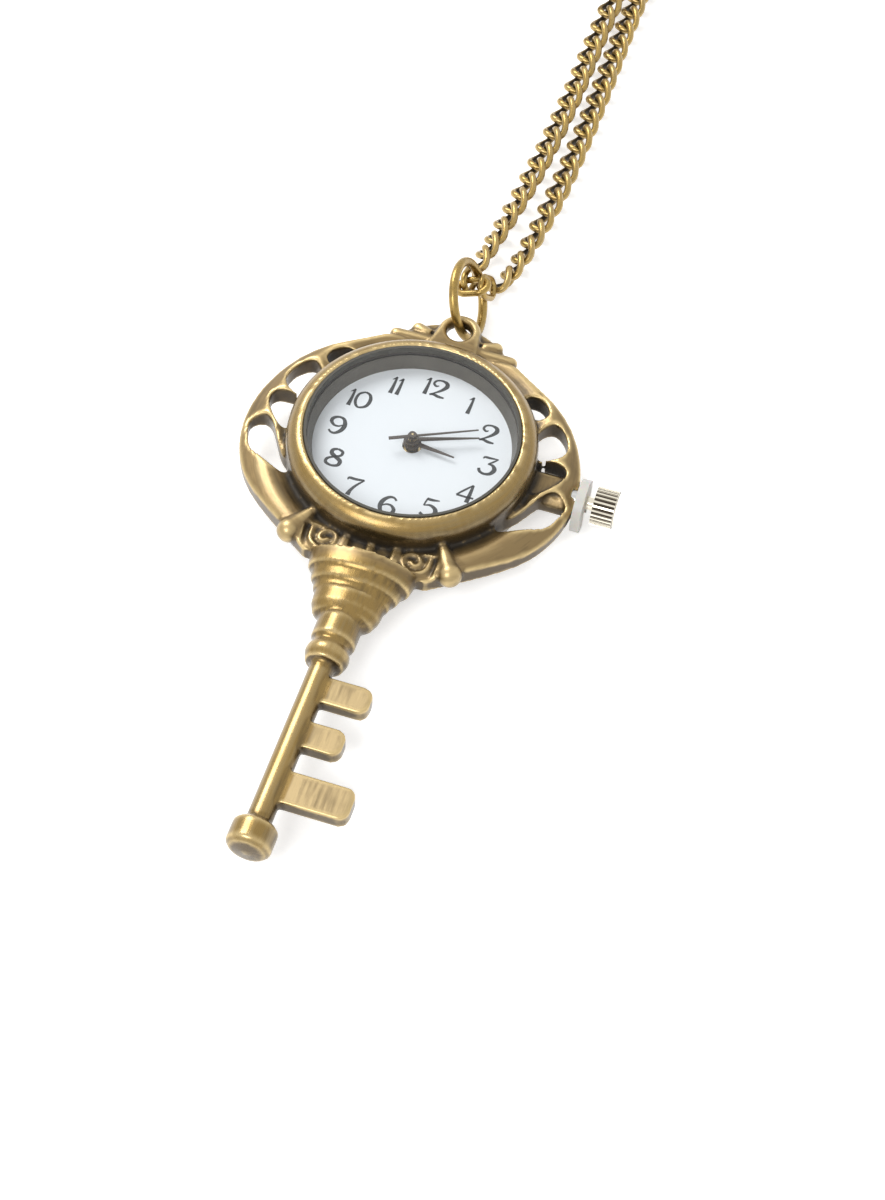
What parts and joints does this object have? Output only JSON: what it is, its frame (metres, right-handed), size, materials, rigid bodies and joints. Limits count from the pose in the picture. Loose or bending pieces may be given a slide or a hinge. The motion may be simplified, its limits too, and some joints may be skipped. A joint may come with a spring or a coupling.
{
  "type": "key-shaped pendant watch",
  "caption": "Pendant quartz watch shaped as an ornate old key, with a round dial, a pulled-out crown held by a spacer, and a curb necklace chain on a jump ring",
  "frame": {"origin": "Centre of the case back's resting face, on the ground plane", "axes": "+Z rises from the case back to the dial, +Y points from the dial's middle to 12 o'clock and the hanging eyelet, +X points to 3 o'clock and the crown"},
  "size_m": [0.0632, 0.178, 0.0097],
  "materials": {
    "antique_brass": "brushed highlights over brown patina",
    "case_steel": "brushed",
    "bright_chrome": "polished",
    "seal_rubber": "matte",
    "clear_glass": "polished",
    "dark_gasket": "matte",
    "grey_rehaut": "satin",
    "white_dial": "matte with black printed numerals",
    "white_plastic": "matte",
    "plate_brass": "nickelled brass",
    "green_board": "lacquered",
    "black_resin": "matte",
    "can_metal": "satin",
    "core_iron": "grey laminated iron",
    "copper_wire": "enamelled copper",
    "rotor_magnet": "ground magnet",
    "dark_hands": "dark brown"
  },
  "bodies": {
    "watch": {"key_casting": "antique_brass", "chain_mid_links": "antique_brass", "chain_strand_left": "antique_brass", "chain_strand_right": "antique_brass", "chain_coil_lower": "antique_brass", "chain_coil_upper": "antique_brass", "clasp_body": "antique_brass", "clasp_ring": "antique_brass", "end_ring": "antique_brass", "case_back": "case_steel", "clasp_pin": "case_steel", "clasp_spring": "case_steel", "stem_tube": "case_steel", "battery_clamp": "case_steel", "movement_screws": "case_steel", "battery_cell": "bright_chrome", "case_back_gasket": "seal_rubber", "crystal": "clear_glass", "crystal_gasket": "dark_gasket", "rehaut_ring": "grey_rehaut", "dial": "white_dial", "movement_holder": "white_plastic", "main_plate": "plate_brass", "train_bridge": "plate_brass", "battery_contact": "plate_brass", "circuit_board": "green_board", "board_chip": "black_resin", "oscillator_can": "can_metal", "coil_core": "core_iron", "stator": "core_iron", "coil_winding": "copper_wire"},
    "second_train": {"seconds_wheel": "plate_brass", "second_hand": "dark_hands"},
    "rotor_body": {"rotor": "rotor_magnet"},
    "intermediate_body": {"intermediate_wheel": "plate_brass"},
    "third_body": {"third_wheel": "plate_brass"},
    "centre_body": {"centre_wheel": "plate_brass"},
    "lever_body": {"setting_lever": "case_steel"},
    "crown_body": {"stem": "case_steel", "crown": "bright_chrome", "crown_gasket": "seal_rubber"},
    "yoke_body": {"yoke": "case_steel"},
    "clutch_body": {"sliding_pinion": "plate_brass"},
    "setting_body": {"setting_wheel": "plate_brass"},
    "minute_wheel_body": {"minute_wheel": "plate_brass"},
    "minute_body": {"cannon_pinion": "plate_brass", "minute_hand": "dark_hands"},
    "hour_body": {"hour_wheel": "plate_brass", "hour_hand": "dark_hands"},
    "spacer_body": {"crown_spacer": "white_plastic"},
    "jump_ring_body": {"jump_ring": "antique_brass"},
    "clasp_lever_body": {"clasp_lever": "antique_brass"}
  },
  "joints": [
    {"name": "seconds_turn", "type": "hinge", "parent": "watch", "child": "second_train", "pos_m": [0, 0, 0.005], "axis": [0, 0, 1], "continuous": true},
    {"name": "rotor_turn", "type": "hinge", "parent": "watch", "child": "rotor_body", "pos_m": [0.00163, -0.00278, 0.0028], "axis": [0, 0, 1], "continuous": true},
    {"name": "intermediate_turn", "type": "hinge", "parent": "watch", "child": "intermediate_body", "pos_m": [0.00134, -0.00112, 0.0028], "axis": [0, 0, 1], "continuous": true},
    {"name": "third_turn", "type": "hinge", "parent": "watch", "child": "third_body", "pos_m": [-0.0003, 0.00172, 0.0028], "axis": [0, 0, 1], "continuous": true},
    {"name": "centre_turn", "type": "hinge", "parent": "watch", "child": "centre_body", "pos_m": [0, 0, 0.0034], "axis": [0, 0, 1], "continuous": true},
    {"name": "lever_slide", "type": "slide", "parent": "watch", "child": "lever_body", "axis": [1, 0, 0], "range_m": [-0.0009, 0]},
    {"name": "crown_turn", "type": "hinge", "parent": "lever_body", "child": "crown_body", "pos_m": [0, 0, 0.0033], "axis": [1, 0, 0], "continuous": true},
    {"name": "yoke_slide", "type": "slide", "parent": "watch", "child": "yoke_body", "axis": [1, 0, 0], "range_m": [0, 0.000225]},
    {"name": "clutch_turn", "type": "hinge", "parent": "yoke_body", "child": "clutch_body", "pos_m": [0, 0, 0.0033], "axis": [1, 0, 0], "continuous": true},
    {"name": "setting_turn", "type": "hinge", "parent": "watch", "child": "setting_body", "pos_m": [0.00438, 0, 0.0039], "axis": [0, 0, 1], "continuous": true},
    {"name": "minute_wheel_turn", "type": "hinge", "parent": "watch", "child": "minute_wheel_body", "pos_m": [0.00193, 0.00162, 0.0039], "axis": [0, 0, 1], "continuous": true},
    {"name": "minute_turn", "type": "hinge", "parent": "watch", "child": "minute_body", "pos_m": [0, 0, 0.005], "axis": [0, 0, 1], "continuous": true},
    {"name": "hour_turn", "type": "hinge", "parent": "watch", "child": "hour_body", "pos_m": [0, 0, 0.005], "axis": [0, 0, 1], "continuous": true},
    {"name": "spacer_slide", "type": "slide", "parent": "watch", "child": "spacer_body", "axis": [0, 0, 1], "range_m": [0, 0.008]},
    {"name": "jump_ring_turn", "type": "hinge", "parent": "watch", "child": "jump_ring_body", "pos_m": [-0.0005, 0.0228, 0.00485], "axis": [0.9309, 0.0601, 0.3603], "continuous": true},
    {"name": "clasp_hinge", "type": "hinge", "parent": "watch", "child": "clasp_lever_body", "pos_m": [-0.0204, 0.10125, 0.0023], "axis": [0, 0, 1], "range_deg": [-16, 0], "stiffness_Nm_per_rad": 0.002, "springref_deg": 11.46}
  ],
  "couplings": [
    {"joint": "rotor_turn", "follows": "seconds_turn", "ratio": 30},
    {"joint": "intermediate_turn", "follows": "seconds_turn", "ratio": -6},
    {"joint": "third_turn", "follows": "seconds_turn", "ratio": -0.13333},
    {"joint": "centre_turn", "follows": "seconds_turn", "ratio": 0.016667},
    {"joint": "yoke_slide", "follows": "lever_slide", "ratio": -0.25},
    {"joint": "clutch_turn", "follows": "crown_turn", "ratio": 1},
    {"joint": "setting_turn", "follows": "crown_turn", "ratio": 0.6},
    {"joint": "minute_wheel_turn", "follows": "crown_turn", "ratio": -0.33333},
    {"joint": "minute_turn", "follows": "crown_turn", "ratio": 1},
    {"joint": "hour_turn", "follows": "crown_turn", "ratio": 0.083333}
  ]
}
